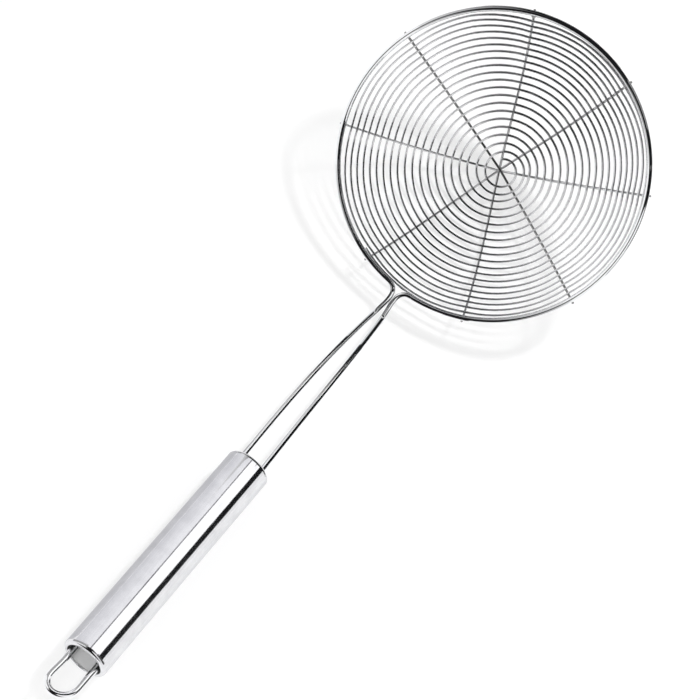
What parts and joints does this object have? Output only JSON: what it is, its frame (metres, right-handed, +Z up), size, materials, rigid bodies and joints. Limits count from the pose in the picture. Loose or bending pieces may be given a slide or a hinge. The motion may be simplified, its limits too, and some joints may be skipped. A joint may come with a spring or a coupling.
{
  "type": "spiral wire skimmer",
  "caption": "Long-handled kitchen skimmer: a shallow bowl of spirally wound wire on crossed spokes, a hoop and shank of bent wire, a hollow steel handle and a hanging loop.",
  "frame": {"origin": "middle of the bottom of the skimmer's box, on the table that it lies on", "axes": "+X along the skimmer from the handle to the basket, +Y across it, +Z up out of the basket"},
  "size_m": [0.367, 0.1368, 0.0718],
  "materials": {
    "frame_steel": "bright drawn stainless wire",
    "fine_wire": "bright fine stainless wire",
    "handle_steel": "satin to polished stainless tube",
    "inner_steel": "plain stainless steel"
  },
  "bodies": {
    "root": {"frame_wire": "frame_steel", "spiral_wire": "fine_wire", "spoke_1": "fine_wire", "spoke_2": "fine_wire", "spoke_3": "fine_wire", "spoke_4": "fine_wire", "handle_tube": "handle_steel", "front_cap": "inner_steel", "rear_plug": "inner_steel", "hanging_loop": "frame_steel"}
  },
  "joints": []
}
